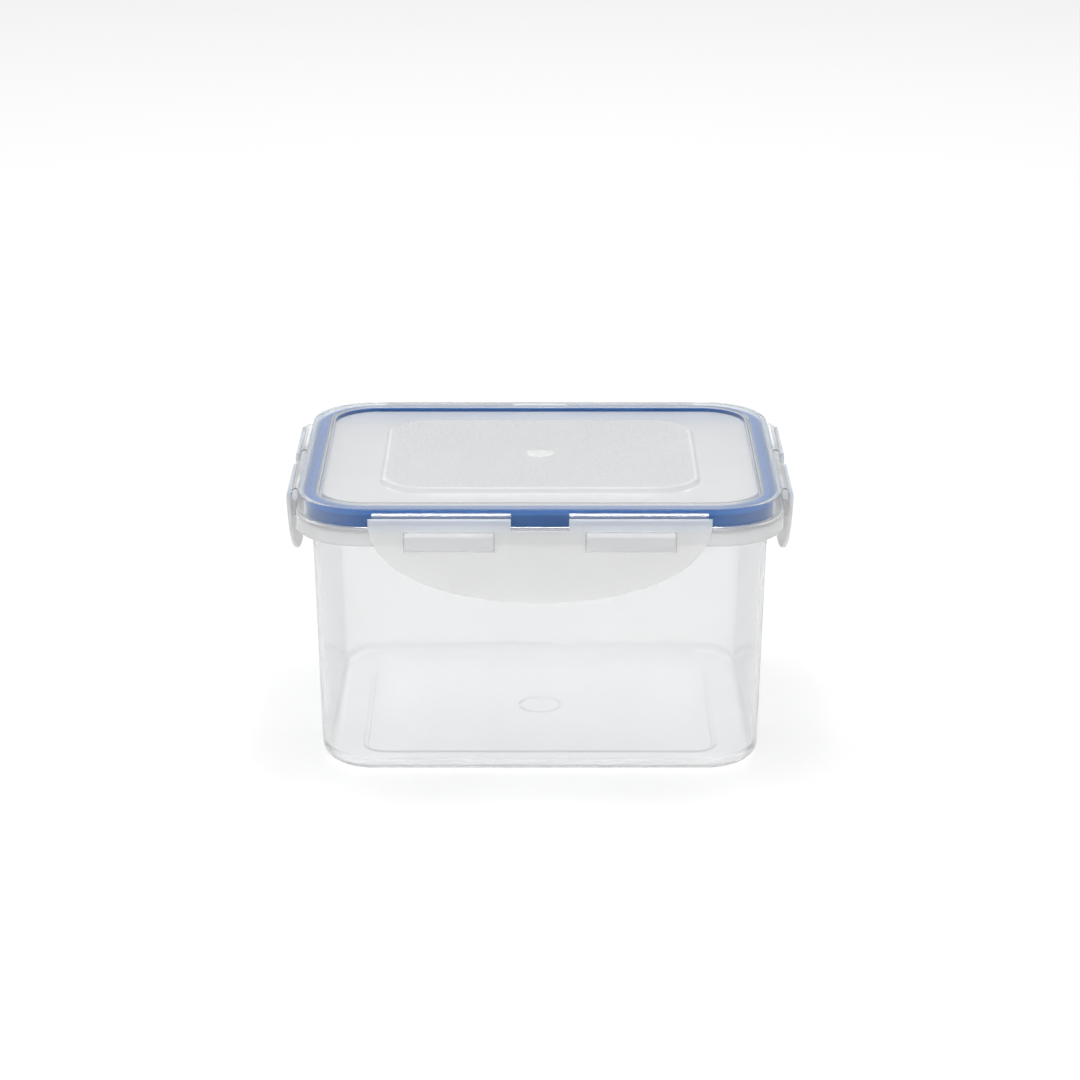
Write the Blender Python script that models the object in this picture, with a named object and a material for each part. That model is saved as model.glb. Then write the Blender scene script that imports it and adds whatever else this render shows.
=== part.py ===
"""Snap lid food container: clear tub, frosted lid, silicone gasket and four slotted lock flaps.

Frame: +X along the length, -Y is the front, +Z up. The origin is on the surface the tub stands on,
below its centre. Every side of the object repeats the front, turned about Z, so the pieces of one side
are modelled as the front's: x runs along the side, -y points outward.
"""

import math

import bmesh
import bpy
from mathutils import Matrix, Vector

MM = 0.001

# Rim: the widest outline, shared by the tub's flange and the lid's skirt.
RIM_HALF_LENGTH = 75.0 * MM
RIM_HALF_WIDTH = 58.0 * MM
RIM_CORNER = 21.0 * MM
CORNER_SEGMENTS = 10

# Tub. An inset is a distance inward from the rim outline.
TUB_HEIGHT = 82.9 * MM
WALL_INSET = 3.9 * MM
WALL_THICKNESS = 1.6 * MM
WALL_DRAFT = 1.8 * MM
FLOOR_THICKNESS = 1.8 * MM
FLOOR_FILLET = 4.6 * MM
FLANGE_HEIGHT = 5.7 * MM
FLANGE_SHELF = 1.5 * MM
FLANGE_BAND = 1.4 * MM
LIP_OUTER_INSET = 3.1 * MM
LIP_INNER_INSET = 4.1 * MM
LIP_HEIGHT = 2.3 * MM
PANEL_HALF_LENGTH = 55.4 * MM
PANEL_HALF_WIDTH = 38.3 * MM
PANEL_CORNER = 6.0 * MM
PANEL_RISE = 1.3 * MM

# Lid.
SEAT_GAP = 0.3 * MM
LID_HEIGHT = 6.1 * MM
LID_DRAFT = 0.6 * MM
LID_EDGE_FILLET = 0.8 * MM
BEAD_WALL = 1.8 * MM
CHANNEL_WIDTH = 3.6 * MM
BEAD_INNER_INSET = 6.4 * MM
PLUG_OUTER_INSET = 6.1 * MM
PLUG_INNER_INSET = 7.2 * MM
PLUG_DEPTH = 2.6 * MM
LID_SKIN = 1.3 * MM
CENTRE_HALF_LENGTH = 50.4 * MM
CENTRE_HALF_WIDTH = 37.7 * MM
CENTRE_CORNER = 14.0 * MM
CENTRE_RISE = 1.4 * MM
CENTRE_SLOPE = 1.3 * MM

# Gasket, with a clear gap all round so that it never overlaps the lid or the lip.
GASKET_GAP = 0.3 * MM
GASKET_GROOVE = 1.6 * MM

# Lock flaps. An offset is a distance outward from the rim outline.
FLAP_OUTER_OFFSET = 4.2 * MM
FLAP_THICKNESS = 1.3 * MM
FLAP_TOP = 87.5 * MM
FLAP_DROP = 27.6 * MM
FLAP_LEAN = math.radians(2.0)
FLAP_ROUNDNESS = 0.87
FLAP_OUTLINE_STEPS = 36
FLAP_NOTCH_DEPTH = 3.7 * MM
LONG_FLAP_HALF = 52.5 * MM
SHORT_FLAP_HALF = 35.2 * MM
# Spans along the side, as shares of the flap's half length.
NOTCH_SHARE = 0.169
SLOT_START_SHARE = 0.266
SLOT_END_SHARE = 0.791
FILM_END_SHARE = 0.979

# Slots and the lugs that reach through them.
SLOT_TOP = 83.3 * MM
SLOT_BOTTOM = 76.7 * MM
SLOT_BOTTOM_SLOPE = 0.8 * MM
LUG_SIDE_GAP = 0.3 * MM
LUG_REACH = 4.5 * MM
LUG_SHOULDER = 3.0 * MM
LUG_TOP = 82.8 * MM
LUG_NOSE_TOP = 81.7 * MM
LUG_BOTTOM = 77.05 * MM
LUG_CHAMFER = 0.4 * MM

# Film hinges: each strip folds at its lid end and at its flap end.
FILM_THICKNESS = 0.4 * MM
FILM_LID_OFFSET = 1.2 * MM
FILM_LID_HEIGHT = 88.2 * MM
FILM_GAP = 0.3 * MM

# Cutters and joined blocks run past the surfaces they meet.
OVERRUN = 2.0 * MM

SIDES = (
    ("front", 0, ("left", "right")),
    ("right", 1, ("front", "rear")),
    ("rear", 2, ("right", "left")),
    ("left", 3, ("rear", "front")),
)


def clear_scene():
    for old in list(bpy.data.objects):
        bpy.data.objects.remove(old, do_unlink=True)


def new_collection(name):
    collection = bpy.data.collections.new(name)
    bpy.context.scene.collection.children.link(collection)
    return collection


def plastic(name, colour, roughness, transmission=0.0):
    material = bpy.data.materials.new(name)
    material.use_nodes = True
    shader = material.node_tree.nodes["Principled BSDF"]
    shader.inputs["Base Color"].default_value = (*colour, 1.0)
    shader.inputs["Roughness"].default_value = roughness
    shader.inputs["Metallic"].default_value = 0.0
    shader.inputs["Transmission Weight"].default_value = transmission
    return material


def add_object(name, mesh, collection, material=None):
    piece = bpy.data.objects.new(name, mesh)
    collection.objects.link(piece)
    if material is not None:
        mesh.materials.clear()
        mesh.materials.append(material)
    mesh.shade_smooth()
    mesh.set_sharp_from_angle(angle=math.radians(35))
    return piece


def add_cutter(name, mesh):
    cutter = add_object(name, mesh, bpy.data.collections["cutters"])
    cutter.hide_render = True
    cutter.display_type = "WIRE"
    return cutter


def rounded_block(half_length, half_width, low, high, corner, draft=0.0, low_fillet=0.0, high_fillet=0.0):
    """A box with round vertical corners, whose foot is narrower than its top by draft on every side."""
    shape = bmesh.new()
    bmesh.ops.create_cube(shape, size=2.0)
    for vert in shape.verts:
        inward = draft if vert.co.z < 0 else 0.0
        vert.co.x *= half_length - inward
        vert.co.y *= half_width - inward
        vert.co.z = low if vert.co.z < 0 else high
    uprights = [edge for edge in shape.edges if edge.verts[0].co.z != edge.verts[1].co.z]
    bevel_edges(shape, uprights, corner, CORNER_SEGMENTS)
    if low_fillet:
        bevel_edges(shape, level_edges(shape, low), low_fillet, 4)
    if high_fillet:
        bevel_edges(shape, level_edges(shape, high), high_fillet, 2)
    mesh = bpy.data.meshes.new("rounded_block")
    shape.to_mesh(mesh)
    shape.free()
    return mesh


def level_edges(shape, height):
    tolerance = 0.001 * MM
    return [edge for edge in shape.edges if all(abs(vert.co.z - height) < tolerance for vert in edge.verts)]


def bevel_edges(shape, edges, width, segments):
    bmesh.ops.bevel(
        shape,
        geom=edges,
        offset=width,
        offset_type="OFFSET",
        segments=segments,
        profile=0.5,
        affect="EDGES",
        clamp_overlap=False,
    )


def rim_block(inset, low, high, draft=0.0, low_fillet=0.0, high_fillet=0.0):
    """A rounded block that follows the rim outline at an inset."""
    return rounded_block(
        RIM_HALF_LENGTH - inset,
        RIM_HALF_WIDTH - inset,
        low,
        high,
        RIM_CORNER - inset,
        draft,
        low_fillet,
        high_fillet,
    )


def rim_ring(name, outer_inset, inner_inset, low, high):
    """A closed band between two insets of the rim outline, as a cutter."""
    band = add_cutter(name, rim_block(outer_inset, low, high))
    hole = add_cutter(name + "_hole", rim_block(inner_inset, low - OVERRUN, high + OVERRUN))
    boolean(band, hole, "DIFFERENCE")
    return band


def boolean(target, tool, operation):
    step = target.modifiers.new(tool.name, "BOOLEAN")
    step.operation = operation
    step.solver = "EXACT"
    step.object = tool


def cut(target, name, mesh):
    boolean(target, add_cutter(name, mesh), "DIFFERENCE")


def join(target, name, mesh):
    boolean(target, add_cutter(name, mesh), "UNION")


def baked_mesh(piece):
    """The piece's evaluated mesh with its loose caps welded."""
    depsgraph = bpy.context.evaluated_depsgraph_get()
    mesh = bpy.data.meshes.new_from_object(piece.evaluated_get(depsgraph))
    shape = bmesh.new()
    shape.from_mesh(mesh)
    bmesh.ops.remove_doubles(shape, verts=shape.verts, dist=0.001 * MM)
    shape.to_mesh(mesh)
    shape.free()
    return mesh


def extruded_outline(points, length):
    """A flat outline drawn in a curve's XY plane, extruded to length on both sides of it."""
    curve = bpy.data.curves.new("outline", "CURVE")
    curve.dimensions = "2D"
    curve.fill_mode = "BOTH"
    curve.extrude = length / 2
    spline = curve.splines.new("POLY")
    spline.points.add(len(points) - 1)
    for spline_point, (across, up) in zip(spline.points, points):
        spline_point.co = (across, up, 0.0, 1.0)
    spline.use_cyclic_u = True
    outline = bpy.data.objects.new("outline", curve)
    bpy.context.scene.collection.objects.link(outline)
    mesh = baked_mesh(outline)
    bpy.data.objects.remove(outline)
    bpy.data.curves.remove(curve)
    return mesh


def upright_matrix():
    """Stands an extruded profile up: its first axis points outward (-y), its second up, its length along x."""
    return Matrix(((0, 0, -1), (-1, 0, 0), (0, 1, 0))).to_4x4()


def side_matrix(turns):
    return Matrix.Rotation(turns * math.pi / 2, 4, "Z")


def rim_distance(turns):
    return RIM_HALF_WIDTH if turns % 2 == 0 else RIM_HALF_LENGTH


def flap_half(turns):
    return LONG_FLAP_HALF if turns % 2 == 0 else SHORT_FLAP_HALF


def side_spans(turns, start_share, end_share):
    """The two spans along a side, mirrored about its middle, as (low, high) pairs from low to high x."""
    half = flap_half(turns)
    start = half * start_share
    end = half * end_share
    return (-end, -start), (start, end)


def lug_mesh(turns, span):
    """One lock lug: a flat top, a sloped nose for the flap to ride over, and a hook underneath."""
    root = -FLANGE_BAND / 2
    profile = (
        (root, LUG_TOP),
        (root, LUG_BOTTOM),
        (LUG_REACH - LUG_CHAMFER, LUG_BOTTOM),
        (LUG_REACH, LUG_BOTTOM + LUG_CHAMFER),
        (LUG_REACH, LUG_NOSE_TOP),
        (LUG_SHOULDER, LUG_TOP),
    )
    mesh = extruded_outline(profile, span[1] - span[0] - 2 * LUG_SIDE_GAP)
    place = Matrix.Translation(Vector(((span[0] + span[1]) / 2, -rim_distance(turns), 0.0)))
    mesh.transform(side_matrix(turns) @ place @ upright_matrix())
    return mesh


def make_tub(parts, material):
    wall = rim_block(WALL_INSET, 0.0, TUB_HEIGHT, WALL_DRAFT, low_fillet=FLOOR_FILLET)
    tub = add_object("container_body", wall, parts, material)
    flange_low = TUB_HEIGHT - FLANGE_HEIGHT
    join(tub, "flange", rim_block(0.0, flange_low, TUB_HEIGHT))
    join(tub, "lip", rim_block(LIP_OUTER_INSET, TUB_HEIGHT - OVERRUN / 2, TUB_HEIGHT + LIP_HEIGHT))
    for side, turns, _ in SIDES:
        for number, span in enumerate(side_spans(turns, SLOT_START_SHARE, SLOT_END_SHARE), 1):
            join(tub, f"{side}_lug_{number}", lug_mesh(turns, span))
    cut(tub, "rim_step", rim_block(LIP_INNER_INSET, TUB_HEIGHT, TUB_HEIGHT + LIP_HEIGHT + OVERRUN))
    cavity = rim_block(
        WALL_INSET + WALL_THICKNESS,
        FLOOR_THICKNESS,
        TUB_HEIGHT + LIP_HEIGHT + OVERRUN,
        WALL_DRAFT,
        low_fillet=FLOOR_FILLET - WALL_THICKNESS,
    )
    cut(tub, "cavity", cavity)
    hollow = rim_ring(
        "flange_hollow",
        FLANGE_BAND,
        WALL_INSET,
        flange_low - OVERRUN,
        TUB_HEIGHT - FLANGE_SHELF,
    )
    boolean(tub, hollow, "DIFFERENCE")
    join(tub, "floor_panel", panel_block(PANEL_RISE, FLOOR_THICKNESS / 2, FLOOR_THICKNESS + PANEL_RISE))
    cut(tub, "foot_recess", panel_block(0.0, -OVERRUN, PANEL_RISE))
    return tub


def panel_block(grow, low, high):
    """A block over the floor panel's outline, grown outward on every side."""
    return rounded_block(PANEL_HALF_LENGTH + grow, PANEL_HALF_WIDTH + grow, low, high, PANEL_CORNER + grow)


def make_lid(parts, material):
    low = TUB_HEIGHT + SEAT_GAP
    high = low + LID_HEIGHT
    ledge = high - LID_SKIN
    skirt = rim_block(0.0, low, high, high_fillet=LID_EDGE_FILLET)
    for vert in skirt.vertices:
        lean = LID_DRAFT * (vert.co.z - low) / LID_HEIGHT
        vert.co.x -= math.copysign(lean, vert.co.x)
        vert.co.y -= math.copysign(lean, vert.co.y)
    lid = add_object("lid_cover", skirt, parts, material)
    join(lid, "plug", rim_block(PLUG_OUTER_INSET, low - PLUG_DEPTH, low + OVERRUN))
    cut(lid, "ledge", rim_block(BEAD_INNER_INSET, ledge, high + OVERRUN))
    centre = rounded_block(
        CENTRE_HALF_LENGTH,
        CENTRE_HALF_WIDTH,
        ledge - LID_SKIN / 2,
        ledge + CENTRE_RISE,
        CENTRE_CORNER,
    )
    taper_above(centre, ledge, CENTRE_RISE, CENTRE_SLOPE)
    join(lid, "centre_panel", centre)
    for side, turns, _ in SIDES:
        for number, span in enumerate(side_spans(turns, NOTCH_SHARE, FILM_END_SHARE), 1):
            join(lid, f"{side}_hinge_ledge_{number}", hinge_ledge_mesh(turns, span))
    cut(lid, "underside", rim_block(PLUG_INNER_INSET, low - PLUG_DEPTH - OVERRUN, ledge - LID_SKIN))
    under_centre = rounded_block(
        CENTRE_HALF_LENGTH - CENTRE_SLOPE,
        CENTRE_HALF_WIDTH - CENTRE_SLOPE,
        ledge - LID_SKIN - OVERRUN,
        ledge + CENTRE_RISE - LID_SKIN,
        CENTRE_CORNER - CENTRE_SLOPE,
    )
    cut(lid, "centre_underside", under_centre)
    channel = rim_ring("channel", BEAD_WALL, BEAD_WALL + CHANNEL_WIDTH, low - OVERRUN, ledge)
    boolean(lid, channel, "DIFFERENCE")
    return lid


def taper_above(mesh, base, rise, run):
    """Leans the sides of a block inward by run over the height rise above base."""
    for vert in mesh.vertices:
        lean = run * (vert.co.z - base) / rise
        vert.co.x -= math.copysign(lean, vert.co.x)
        vert.co.y -= math.copysign(lean, vert.co.y)


def hinge_ledge_mesh(turns, span):
    """The small shelf on the lid's skirt from which a strip of film leaves."""
    outer = FILM_LID_OFFSET - FILM_GAP
    inner = BEAD_WALL / 2
    shelf = bmesh.new()
    bmesh.ops.create_cube(shelf, size=1.0)
    size = (span[1] - span[0], outer + inner, 1.5 * FILM_THICKNESS)
    centre = ((span[0] + span[1]) / 2, -rim_distance(turns) - (outer - inner) / 2, FILM_LID_HEIGHT)
    shape_matrix = Matrix.Translation(Vector(centre)) @ Matrix.Diagonal(Vector((*size, 1.0)))
    bmesh.ops.transform(shelf, matrix=side_matrix(turns) @ shape_matrix, verts=shelf.verts)
    mesh = bpy.data.meshes.new("hinge_ledge")
    shelf.to_mesh(mesh)
    shelf.free()
    return mesh


def make_gasket(parts, material):
    low = TUB_HEIGHT + SEAT_GAP
    outer = BEAD_WALL + GASKET_GAP
    inner = BEAD_WALL + CHANNEL_WIDTH - GASKET_GAP
    high = low + LID_HEIGHT - LID_SKIN - GASKET_GAP
    gasket = add_object("seal_gasket", rim_block(outer, low, high), parts, material)
    cut(gasket, "gasket_hole", rim_block(inner, low - OVERRUN, high + OVERRUN))
    middle = (LIP_OUTER_INSET + LIP_INNER_INSET) / 2
    groove = rim_ring(
        "gasket_groove",
        middle - GASKET_GROOVE / 2,
        middle + GASKET_GROOVE / 2,
        low - OVERRUN,
        TUB_HEIGHT + LIP_HEIGHT + GASKET_GAP,
    )
    boolean(gasket, groove, "DIFFERENCE")
    return gasket


def flap_pivot_offset():
    return FLAP_OUTER_OFFSET - FLAP_THICKNESS / 2


def flap_pivot_height():
    return FLAP_TOP - FLAP_THICKNESS / 2


def flap_mesh(half):
    """One flap about its hinge axis: x along the hinge, -y outward, z up. It hangs leaning towards the tub."""
    top = FLAP_THICKNESS / 2
    notch = half * NOTCH_SHARE
    outline = [(notch, top - FLAP_NOTCH_DEPTH), (notch, top)]
    for step in range(FLAP_OUTLINE_STEPS + 1):
        angle = math.pi * step / FLAP_OUTLINE_STEPS
        drop = FLAP_DROP * max(math.sin(angle), 0.0) ** FLAP_ROUNDNESS
        outline.append((half * math.cos(angle), top - drop))
    outline += [(-notch, top), (-notch, top - FLAP_NOTCH_DEPTH)]
    mesh = extruded_outline(outline, FLAP_THICKNESS)
    mesh.transform(Matrix.Rotation(math.pi / 2, 4, "X"))
    round_top(mesh, top)
    plate = add_cutter("flap_blank", mesh)
    for low_x, high_x in ((-half * SLOT_END_SHARE, -half * SLOT_START_SHARE),
                          (half * SLOT_START_SHARE, half * SLOT_END_SHARE)):
        cut(plate, "slot", slot_mesh(low_x, high_x))
    finished = baked_mesh(plate)
    finished.transform(Matrix.Rotation(FLAP_LEAN, 4, "X"))
    return finished


def round_top(mesh, top):
    """Rounds the flap's top edge about its hinge axis."""
    shape = bmesh.new()
    shape.from_mesh(mesh)
    bevel_edges(shape, level_edges_along_x(shape, top), 0.96 * FLAP_THICKNESS / 2, 3)
    shape.to_mesh(mesh)
    shape.free()


def level_edges_along_x(shape, height):
    tolerance = 0.001 * MM
    return [
        edge
        for edge in level_edges(shape, height)
        if abs(edge.verts[0].co.y - edge.verts[1].co.y) < tolerance
    ]


def slot_mesh(low_x, high_x):
    """A slot cutter, in the flap's frame, whose floor slopes down towards the tub."""
    reach = FLAP_THICKNESS
    slope = SLOT_BOTTOM_SLOPE / FLAP_THICKNESS
    top = SLOT_TOP - flap_pivot_height()
    outer_floor = SLOT_BOTTOM - flap_pivot_height()
    middle_floor = outer_floor - SLOT_BOTTOM_SLOPE / 2
    profile = (
        (-reach, top),
        (-reach, middle_floor - slope * reach),
        (reach, middle_floor + slope * reach),
        (reach, top),
    )
    mesh = extruded_outline(profile, high_x - low_x)
    mesh.transform(Matrix.Translation(Vector(((low_x + high_x) / 2, 0.0, 0.0))) @ upright_matrix())
    return mesh


def film_mesh(span):
    """One strip of film about its lid fold: it leans down and out to the flap's round top edge."""
    run = flap_pivot_offset() - FILM_LID_OFFSET
    fall = FILM_LID_HEIGHT - flap_pivot_height()
    whole = math.hypot(run, fall)
    start = 0.0
    end = whole - FLAP_THICKNESS / 2 - FILM_GAP
    strip = bmesh.new()
    bmesh.ops.create_cube(strip, size=1.0)
    size = Matrix.Diagonal(Vector((span[1] - span[0], end - start, FILM_THICKNESS, 1.0)))
    place = Matrix.Translation(Vector(((span[0] + span[1]) / 2, -(start + end) / 2, 0.0)))
    lean = Matrix.Rotation(math.atan2(fall, run), 4, "X")
    bmesh.ops.transform(strip, matrix=lean @ place @ size, verts=strip.verts)
    mesh = bpy.data.meshes.new("film")
    strip.to_mesh(mesh)
    strip.free()
    return mesh


def make_flaps(parts, flap_material, film_material):
    flap_meshes = {half: flap_mesh(half) for half in (LONG_FLAP_HALF, SHORT_FLAP_HALF)}
    for side, turns, ends in SIDES:
        rim = rim_distance(turns)
        flap = add_object(f"{side}_flap", flap_meshes[flap_half(turns)], parts, flap_material)
        pivot = Vector((0.0, -rim - flap_pivot_offset(), flap_pivot_height()))
        flap.matrix_world = side_matrix(turns) @ Matrix.Translation(pivot)
        for end, span in zip(ends, side_spans(turns, NOTCH_SHARE, FILM_END_SHARE)):
            film = add_object(f"{side}_film_{end}", film_mesh(span), parts, film_material)
            fold = Vector((0.0, -rim - FILM_LID_OFFSET, FILM_LID_HEIGHT))
            film.matrix_world = side_matrix(turns) @ Matrix.Translation(fold)


def main():
    clear_scene()
    parts = new_collection("snap_lid_food_container")
    new_collection("cutters")
    clear_plastic = plastic("clear polypropylene", (0.86, 0.87, 0.87), 0.12, transmission=0.8)
    frosted_plastic = plastic("frosted polypropylene", (0.78, 0.80, 0.82), 0.38, transmission=0.4)
    film_plastic = plastic("film hinge polypropylene", (0.80, 0.83, 0.86), 0.25, transmission=0.5)
    blue_silicone = plastic("blue silicone", (0.06, 0.17, 0.42), 0.45)
    make_tub(parts, clear_plastic)
    make_lid(parts, frosted_plastic)
    make_gasket(parts, blue_silicone)
    make_flaps(parts, frosted_plastic, film_plastic)


main()
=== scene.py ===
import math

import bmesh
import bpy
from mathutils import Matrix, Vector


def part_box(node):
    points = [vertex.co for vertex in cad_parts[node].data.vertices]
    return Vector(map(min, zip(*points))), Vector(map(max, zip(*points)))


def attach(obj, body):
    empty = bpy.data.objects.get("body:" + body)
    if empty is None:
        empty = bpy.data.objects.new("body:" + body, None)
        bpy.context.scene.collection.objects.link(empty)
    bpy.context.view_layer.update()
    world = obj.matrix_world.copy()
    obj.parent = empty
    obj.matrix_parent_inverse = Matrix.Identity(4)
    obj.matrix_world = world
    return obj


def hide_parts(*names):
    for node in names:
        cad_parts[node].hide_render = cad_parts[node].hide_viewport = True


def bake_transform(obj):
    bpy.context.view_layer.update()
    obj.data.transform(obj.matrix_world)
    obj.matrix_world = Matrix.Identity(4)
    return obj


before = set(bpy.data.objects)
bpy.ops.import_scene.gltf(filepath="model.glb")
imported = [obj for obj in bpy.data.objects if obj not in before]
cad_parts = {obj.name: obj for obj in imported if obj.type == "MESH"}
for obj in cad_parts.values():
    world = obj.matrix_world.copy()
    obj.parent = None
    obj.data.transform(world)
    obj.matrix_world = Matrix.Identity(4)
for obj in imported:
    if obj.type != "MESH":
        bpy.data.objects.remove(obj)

# The looks of a snap lid food container: moulded polypropylene round a blue silicone gasket.
#
# Every side repeats the front, turned about Z, so the pieces of one side are modelled as the front's:
# x runs along the side, -y points outward, z is up. An inset is a distance inward from the rim's
# outline, and an offset is a distance outward from it. A profile is a row of corners, each with its
# place across, its height and, where it is rounded, the radius of its fillet.

MM = 0.001

# Rim outline and heights, read from the frame. The gasket's box is free of lugs and flaps.
GASKET_INSET = 2.1 * MM
gasket_low, gasket_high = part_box("seal_gasket")
tub_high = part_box("container_body")[1]
lid_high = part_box("lid_cover")[1]
RIM_HALF_LENGTH = gasket_high.x + GASKET_INSET
RIM_HALF_WIDTH = gasket_high.y + GASKET_INSET
RIM_CORNER = 21.0 * MM
SKIRT_GROWTH = 1.0 * MM
LID_FOOT = gasket_low.z
LID_TOP = lid_high.z
LIP_TOP = tub_high.z

# Mesh fineness.
ARC_STEPS = 24
SIDE_STEPS = 6
FILLET_STEPS = 6
FOOT_FILLET_STEPS = 12
BLOCK_FILLET_STEPS = 4
BEVEL_STEPS = 3
SHOULDER_STEPS = 6
FILM_STEPS = 12
FILM_PATH_STEPS = 4
WELD_DISTANCE = 0.0005 * MM

# How far a flat carries on past a corner before the next profile takes over.
SHORT_RUN = 1.0 * MM
LEDGE_RUN = 1.5 * MM
PANEL_RUN = 2.0 * MM
CENTRE_RUN = 3.0 * MM

# Tub.
LIP_HEIGHT = 2.3 * MM
RIM_HEIGHT = LIP_TOP - LIP_HEIGHT
WALL_INSET = 3.9 * MM
WALL_THICKNESS = 1.6 * MM
WALL_DRAFT = 1.8 * MM
FOOT_CORNER_GROWTH = 2.0 * MM
FLOOR_THICKNESS = 1.8 * MM
FOOT_FILLET = 4.6 * MM
FOOT_BAND = 1.3 * MM
WALL_HEIGHTS = (20 * MM, 40 * MM, 60 * MM)
WALL_TOP = 76 * MM
INNER_FILLET = 4.4 * MM
FLANGE_FOOT = RIM_HEIGHT - 5.7 * MM
FLANGE_SHELF = 1.5 * MM
FLANGE_BAND = 1.4 * MM
LIP_OUTER_INSET = 3.1 * MM
LIP_INNER_INSET = 4.1 * MM
PANEL_HALF_LENGTH = 55.4 * MM
PANEL_HALF_WIDTH = 38.3 * MM
PANEL_CORNER = 6.0 * MM
PANEL_RISE = 0.5 * MM
PANEL_SLOPE = 0.25 * MM
PANEL_FILLET = 0.2 * MM
FLOOR_STEP = 1.3 * MM
FLOOR_GATE_RADIUS = 6.9 * MM
FLOOR_GATE_DEPTH = 0.5 * MM
GATE_GROOVE = 0.5 * MM
LINE_MARGIN = 0.1 * MM

# Lid.
BEAD_TOP = LID_FOOT + 6.1 * MM
LID_DRAFT = 0.6 * MM
BEAD_WALL = 1.8 * MM
CHANNEL_INNER_INSET = 5.4 * MM
BEAD_INNER_INSET = 7.1 * MM
BEAD_CROWN = BEAD_TOP + 0.08 * MM
PLUG_OUTER_INSET = 6.1 * MM
PLUG_INNER_INSET = 7.2 * MM
PLUG_DEPTH = 2.6 * MM
LID_SKIN = 1.3 * MM
LEDGE = BEAD_TOP - 1.6 * MM
LEDGE_UNDER = LEDGE - LID_SKIN
CENTRE_UNDER = LID_TOP - LID_SKIN
CHANNEL_TOP = BEAD_TOP - 0.5 * MM
CENTRE_HALF_LENGTH = 50.4 * MM
CENTRE_HALF_WIDTH = 37.7 * MM
CENTRE_CORNER = 14.0 * MM
CENTRE_SLOPE = 1.3 * MM
CENTRE_MARGIN = 0.4 * MM
LID_GATE_RADIUS = 4.6 * MM
LID_GATE_DEPTH = 0.12 * MM
EDGE_WIDTH = 0.8 * MM
EDGE_DEPTH = 0.4 * MM
EDGE_MARGIN = 0.1 * MM

# Gasket.
GASKET_WIDTH = 3.0 * MM
GASKET_SHOULDER = gasket_high.z - 0.8 * MM
GASKET_TOP = gasket_high.z + 0.7 * MM
GASKET_CROWN = 1.4 * MM
GASKET_GROOVE = 1.6 * MM
GROOVE_TOP = LIP_TOP + 0.3 * MM

# Lock flaps.
FLAP_OUTER_OFFSET = 4.2 * MM
FLAP_THICKNESS = 1.3 * MM
FLAP_PIVOT_OFFSET = FLAP_OUTER_OFFSET - FLAP_THICKNESS / 2
FLAP_TOP = 87.3 * MM
FLAP_PIVOT_HEIGHT = FLAP_TOP - FLAP_THICKNESS / 2
FLAP_DROP = 27.4 * MM
FLAP_LEAN = math.radians(2.0)
FLAP_ROUNDNESS = 0.87
FLAP_OUTLINE_STEPS = 72
FLAP_NOTCH_DEPTH = 3.7 * MM
FLAP_EDGE = 0.35 * MM
FLAP_SHOULDER_RADIUS = 4.0 * MM
FLAP_SHOULDER_LENGTH = 1.9 * MM
LONG_FLAP_HALF = 52.5 * MM
SHORT_FLAP_HALF = 35.2 * MM
NOTCH_SHARE = 0.169
SLOT_START_SHARE = 0.266
SLOT_END_SHARE = 0.791
FILM_END_SHARE = 0.979
SLOT_TOP = 83.3 * MM
SLOT_FLOOR = 76.9 * MM
SLOT_CORNER = 0.4 * MM

# Lugs on the flange.
LUG_SIDE_GAP = 0.15 * MM
LUG_REACH = 4.5 * MM
LUG_SHOULDER = 3.0 * MM
LUG_TOP = 82.8 * MM
LUG_NOSE_TOP = 81.7 * MM
LUG_FOOT = 77.05 * MM
LUG_EDGE = 0.3 * MM

# Film hinges: (offset, height, thickness) along the strip, from the lid's skirt to the flap.
FILM_ROOT = (
    (-0.75 * MM, 87.65 * MM, 0.60 * MM),
    (0.00 * MM, 87.90 * MM, 0.50 * MM),
    (0.70 * MM, 88.20 * MM, 0.42 * MM),
    (1.25 * MM, 88.42 * MM, 0.38 * MM),
    (1.50 * MM, 88.36 * MM, 0.36 * MM),
    (1.80 * MM, 88.17 * MM, 0.35 * MM),
    (2.15 * MM, 87.95 * MM, 0.34 * MM),
    (2.35 * MM, 87.80 * MM, 0.34 * MM),
)
FILM_TIP = (
    (2.35 * MM, 87.80 * MM, 0.34 * MM),
    (2.58 * MM, 87.46 * MM, 0.36 * MM),
    (2.90 * MM, 87.08 * MM, 0.42 * MM),
    (3.35 * MM, 86.85 * MM, 0.46 * MM),
)

# Each side's name, its quarter turns from the front, and the names of its two strips of film.
SIDES = (
    ("front", 0, ("left", "right")),
    ("right", 1, ("front", "rear")),
    ("rear", 2, ("right", "left")),
    ("left", 3, ("rear", "front")),
)

# Shades. A pair holds the two that a surface's cloud drifts between.
# Painted highlight: the white on the lid's raised centre slope and gate mark.
PAINTED_HIGHLIGHT_WHITE = (0.95, 0.95, 0.95)
CLEAR_SHADES = ((0.942, 0.95, 0.954), (0.956, 0.963, 0.967))
# Painted shade: the clear plastic's greyer colour towards the tub's short ends.
CLEAR_END_PAINTED_SHADE = (0.875, 0.882, 0.892)
RIM_MEAN = (0.9, 0.905, 0.91)
RIM_SHADES = ((0.89, 0.895, 0.9), (0.91, 0.915, 0.92))
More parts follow.
